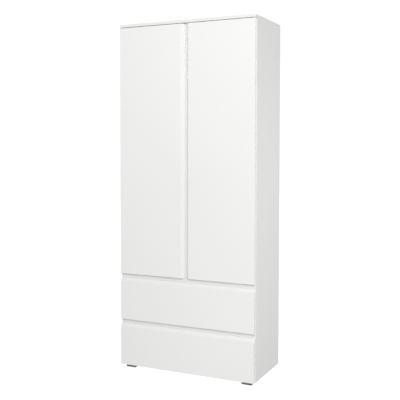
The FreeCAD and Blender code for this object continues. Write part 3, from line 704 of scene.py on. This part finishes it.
# %% Rails and strip
for node_name in ("lower_recess_rail", "upper_recess_rail", "centre_strip"):
    low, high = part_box(node_name)
    board = block(f"{node_name}_board", low, high)
    own = [spot for spot in cams if all(a < s < b for a, s, b in zip(low, spot, high))]
    drill(board, [(spot.x, high.y, spot.z) for spot in own], CAM_HOLE_RADIUS, CAM_HOLE_DEPTH,
          (0, -1, 0))
    ease_edges(board, BAND_EDGE)
    install(board, node_name, "white_body_board")

# %% [markdown]
# ## Screws
#
# All the small screws are one kind: a low domed head with a cross for the screwdriver, on a plain
# shank. One is made upright at the origin, head up. A screw in a group has a known box and a known
# direction, so a copy is turned and put there. The threads are inside the board and are left out.

# %% One screw
HEAD_RADIUS = 3.6 * MM
HEAD_HEIGHT = 1.6 * MM
SHANK_RADIUS = 1.7 * MM
SHANK_LENGTH = 11.5 * MM
HEAD_SIDES = 20
HEAD_DOME = 0.72
SHANK_POINT = 0.5
SCREW_EDGE = 0.15 * MM
CROSS_LENGTH = 3.6 * MM
CROSS_WIDTH = 0.9 * MM
CROSS_DEPTH = 0.9 * MM

bpy.ops.object.select_all(action="DESELECT")
bpy.ops.mesh.primitive_cylinder_add(vertices=HEAD_SIDES, radius=HEAD_RADIUS, depth=HEAD_HEIGHT,
                                    location=(0, 0, -HEAD_HEIGHT / 2))
screw = bpy.context.object
screw.name = "screw_pattern"
bpy.ops.object.transform_apply(location=True, rotation=True, scale=True)
pick_faces(screw, lambda centre, normal: normal.z > FACING)
bpy.ops.transform.resize(value=(HEAD_DOME, HEAD_DOME, 1))
bpy.ops.object.mode_set(mode="OBJECT")
pick_faces(screw, lambda centre, normal: normal.z < -FACING)
bpy.ops.mesh.inset(thickness=HEAD_RADIUS - SHANK_RADIUS)
bpy.ops.mesh.extrude_region_move(TRANSFORM_OT_translate={"value": (0, 0, -SHANK_LENGTH)})
bpy.ops.transform.resize(value=(SHANK_POINT, SHANK_POINT, 1))
bpy.ops.object.mode_set(mode="OBJECT")
for x, y in ((CROSS_LENGTH / 2, CROSS_WIDTH / 2), (CROSS_WIDTH / 2, CROSS_LENGTH / 2)):
    groove = block("cross", (-x, -y, -CROSS_DEPTH), (x, y, OVERSHOOT))
    apply_modifier(screw, "BOOLEAN", operation="DIFFERENCE", solver="EXACT", object=groove)
    bpy.data.objects.remove(groove)
ease_edges(screw, SCREW_EDGE, steps=1)
print("screw:", len(screw.data.polygons), "faces")


# %% Screws in their places
def set_screws(node_name, tip_of):
    """Puts a copy of the screw on each solid of a node; tip_of gives the way its tip points."""
    copies = []
    for box in solids_of(node_name):
        tip = Vector(tip_of(middle(box)))
        head = middle(box) - tip * (max(box[1] - box[0]) / 2)
        only(screw)
        bpy.ops.object.duplicate()
        copy = bpy.context.object
        copy.location = head
        copy.rotation_euler = tip.to_track_quat("-Z", "Y").to_euler()
        bpy.ops.object.transform_apply(location=True, rotation=True, scale=False)
        copies.append(copy)
    only(*copies)
    bpy.ops.object.join()
    group = bpy.context.object
    group.name = f"{node_name}_set"
    install(group, node_name, "plated_steel")


def outward(place):
    """Towards the side board that a place is nearer to."""
    return (math.copysign(1, place.x), 0, 0)


def into_the_door(place):
    """Straight forward, wherever the place is."""
    return (0, -1, 0)


for node_name in ("hinge_plate_screws", "rail_socket_screws", "runner_screws"):
    set_screws(node_name, outward)
for node_name in ("left_cup_screws", "right_cup_screws"):
    set_screws(node_name, into_the_door)
bpy.data.objects.remove(screw)

# %% [markdown]
# ## Cup hinges
#
# Each door hangs on three concealed hinges: a pressed steel cup in the door, an arm that reaches
# into it, and a plate under the arm on the side board. The cup is a short cylinder joined to a
# rounded plate and hollowed; the arm is a block whose long upper edges are rounded over and whose
# far end is drawn in, as bent sheet steel looks. One of each is made for the left side, then copied
# up the door; the right side gets its own, because its arms face the other way.

# %% Hinge cups
CUP_RADIUS = 17.4 * MM
CUP_INSIDE_RADIUS = 16.1 * MM
CUP_FLANGE = 1.2 * MM
CUP_SIDES = 48
EAR_WIDTH = 20 * MM
EAR_CORNER = 7 * MM
STEEL_EDGE = 0.4 * MM


def copies_of(pattern, boxes, name):
    """Copies a piece made in the first box to all the others, and joins them under one name."""
    pieces = [pattern]
    for box in boxes[1:]:
        only(pattern)
        bpy.ops.object.duplicate()
        copy = bpy.context.object
        copy.location = box[0] - boxes[0][0]
        bpy.ops.object.transform_apply(location=True, rotation=False, scale=False)
        pieces.append(copy)
    only(*pieces)
    bpy.ops.object.join()
    joined = bpy.context.object
    joined.name = name
    return joined


for side in ("left", "right"):
    boxes = solids_of(f"{side}_hinge_cups")
    low, high = boxes[0]
    centre = middle(boxes[0])
    cup = block(f"{side}_cups", (centre.x - EAR_WIDTH / 2, high.y - CUP_FLANGE, low.z),
                (centre.x + EAR_WIDTH / 2, high.y, high.z))
    round_corners(cup, 1, EAR_CORNER)
    deep = high.y - low.y
    bpy.ops.object.select_all(action="DESELECT")
    bpy.ops.mesh.primitive_cylinder_add(vertices=CUP_SIDES, radius=CUP_RADIUS, depth=deep,
                                        location=centre, rotation=(math.radians(90), 0, 0))
    barrel = bpy.context.object
    bpy.ops.object.transform_apply(location=True, rotation=True, scale=True)
    apply_modifier(cup, "BOOLEAN", operation="UNION", solver="EXACT", object=barrel)
    bpy.data.objects.remove(barrel)
    drill(cup, [(centre.x, high.y, centre.z)], CUP_INSIDE_RADIUS, deep - CUP_FLANGE, (0, -1, 0))
    ease_edges(cup, STEEL_EDGE, steps=2)
    install(copies_of(cup, boxes, f"{side}_cups"), f"{side}_hinge_cups", "plated_steel")

# %% Hinge arms and plates
PLATE_CORNER = 5 * MM
ARM_LENGTH = 62 * MM
ARM_ROUND = 3 * MM
ARM_END = 0.7
NECK_SIZE = (6 * MM, 8 * MM)
NECK_FROM_MIDDLE = 384.5 * MM
ADJUSTER_RADIUS = 2.6 * MM
ADJUSTER_DEPTH = 1.5 * MM
ADJUSTERS_FROM_END = (14 * MM, 28 * MM, 46 * MM)

for side, inward in (("left", 1), ("right", -1)):
    boxes = solids_of(f"{side}_hinge_plates")
    plate = block(f"{side}_plates", *boxes[0])
    round_corners(plate, 0, PLATE_CORNER)
    ease_edges(plate, STEEL_EDGE, steps=2)
    install(copies_of(plate, boxes, f"{side}_plates"), f"{side}_hinge_plates", "plated_steel")

    boxes = solids_of(f"{side}_hinge_arms")
    low, high = boxes[0]
    centre = middle(boxes[0])
    arm = block(f"{side}_arms", (low.x, high.y - ARM_LENGTH, low.z), high)
    crown = high.x if side == "left" else low.x
    pick_edges(arm, lambda p: near(p.x, crown))
    bpy.ops.mesh.bevel(offset=ARM_ROUND, segments=4)
    bpy.ops.object.mode_set(mode="OBJECT")
    pick_faces(arm, lambda centre, normal: normal.y > FACING)
    bpy.ops.transform.resize(value=(1, 1, ARM_END))
    bpy.ops.object.mode_set(mode="OBJECT")
    neck_x = math.copysign(NECK_FROM_MIDDLE, centre.x)
    neck = block("neck", (neck_x - NECK_SIZE[0] / 2, low.y, centre.z - NECK_SIZE[1] / 2),
                 (neck_x + NECK_SIZE[0] / 2, high.y - ARM_LENGTH / 2, centre.z + NECK_SIZE[1] / 2))
    apply_modifier(arm, "BOOLEAN", operation="UNION", solver="EXACT", object=neck)
    bpy.data.objects.remove(neck)
    drill(arm, [(crown, high.y - reach, centre.z) for reach in ADJUSTERS_FROM_END], ADJUSTER_RADIUS,
          ADJUSTER_DEPTH, (-inward, 0, 0))
    ease_edges(arm, STEEL_EDGE, steps=2)
    install(copies_of(arm, boxes, f"{side}_arms"), f"{side}_hinge_arms", "plated_steel")

# %% [markdown]
# ## Clothes rail
#
# The rail is a chromed steel tube. The frame's own tube is made of flat strips, and on a mirror
# finish each strip would show. A rounder cylinder with open ends and a wall of its own reflects
# smoothly.

# %% The tube
TUBE_WALL = 1.2 * MM
TUBE_SIDES = 96

low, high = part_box("clothes_rail")
bpy.ops.object.select_all(action="DESELECT")
bpy.ops.mesh.primitive_cylinder_add(vertices=TUBE_SIDES, radius=(high.z - low.z) / 2,
                                    depth=high.x - low.x, location=(low + high) / 2,
                                    rotation=(0, math.radians(90), 0))
tube = bpy.context.object
tube.name = "rail_tube"
bpy.ops.object.transform_apply(location=True, rotation=True, scale=True)
pick_faces(tube, lambda centre, normal: abs(normal.x) > FACING)
bpy.ops.mesh.delete(type="FACE")
bpy.ops.object.mode_set(mode="OBJECT")
apply_modifier(tube, "SOLIDIFY", thickness=TUBE_WALL, offset=-1)
only(tube)
bpy.ops.object.shade_smooth_by_angle(angle=SMOOTH_ANGLE)
install(tube, "clothes_rail", "chromed_tube")

# %% [markdown]
# ## Feet
#
# Under the body sit four moulded glides, low grey blocks that are narrower at the floor, so that
# they come out of the mould and slide without catching. One is modelled and copied three times.

# %% Glides
GLIDE_NAMES = [f"{end}_{side}_foot" for end in ("front", "rear") for side in ("left", "right")]
GLIDE_TAPER = (0.99, 0.98, 1.0)
GLIDE_CORNER = 2 * MM
GLIDE_EDGE = 0.5 * MM

low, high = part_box(GLIDE_NAMES[0])
glide = block("front_left_glide", low, high)
round_corners(glide, 2, GLIDE_CORNER, steps=3)
pick_faces(glide, lambda centre, normal: normal.z < -FACING)
bpy.ops.transform.resize(value=GLIDE_TAPER)
bpy.ops.object.mode_set(mode="OBJECT")
ease_edges(glide, GLIDE_EDGE)
for node_name in GLIDE_NAMES[1:]:
    only(glide)
    bpy.ops.object.duplicate()
    twin = bpy.context.object
    twin.name = node_name.replace("_foot", "_glide")
    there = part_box(node_name)[0]
    twin.location = [b - a for a, b in zip(low, there)]
    bpy.ops.object.transform_apply(location=True, rotation=False, scale=False)
    install(twin, node_name, "grey_plastic")
install(glide, GLIDE_NAMES[0], "grey_plastic")
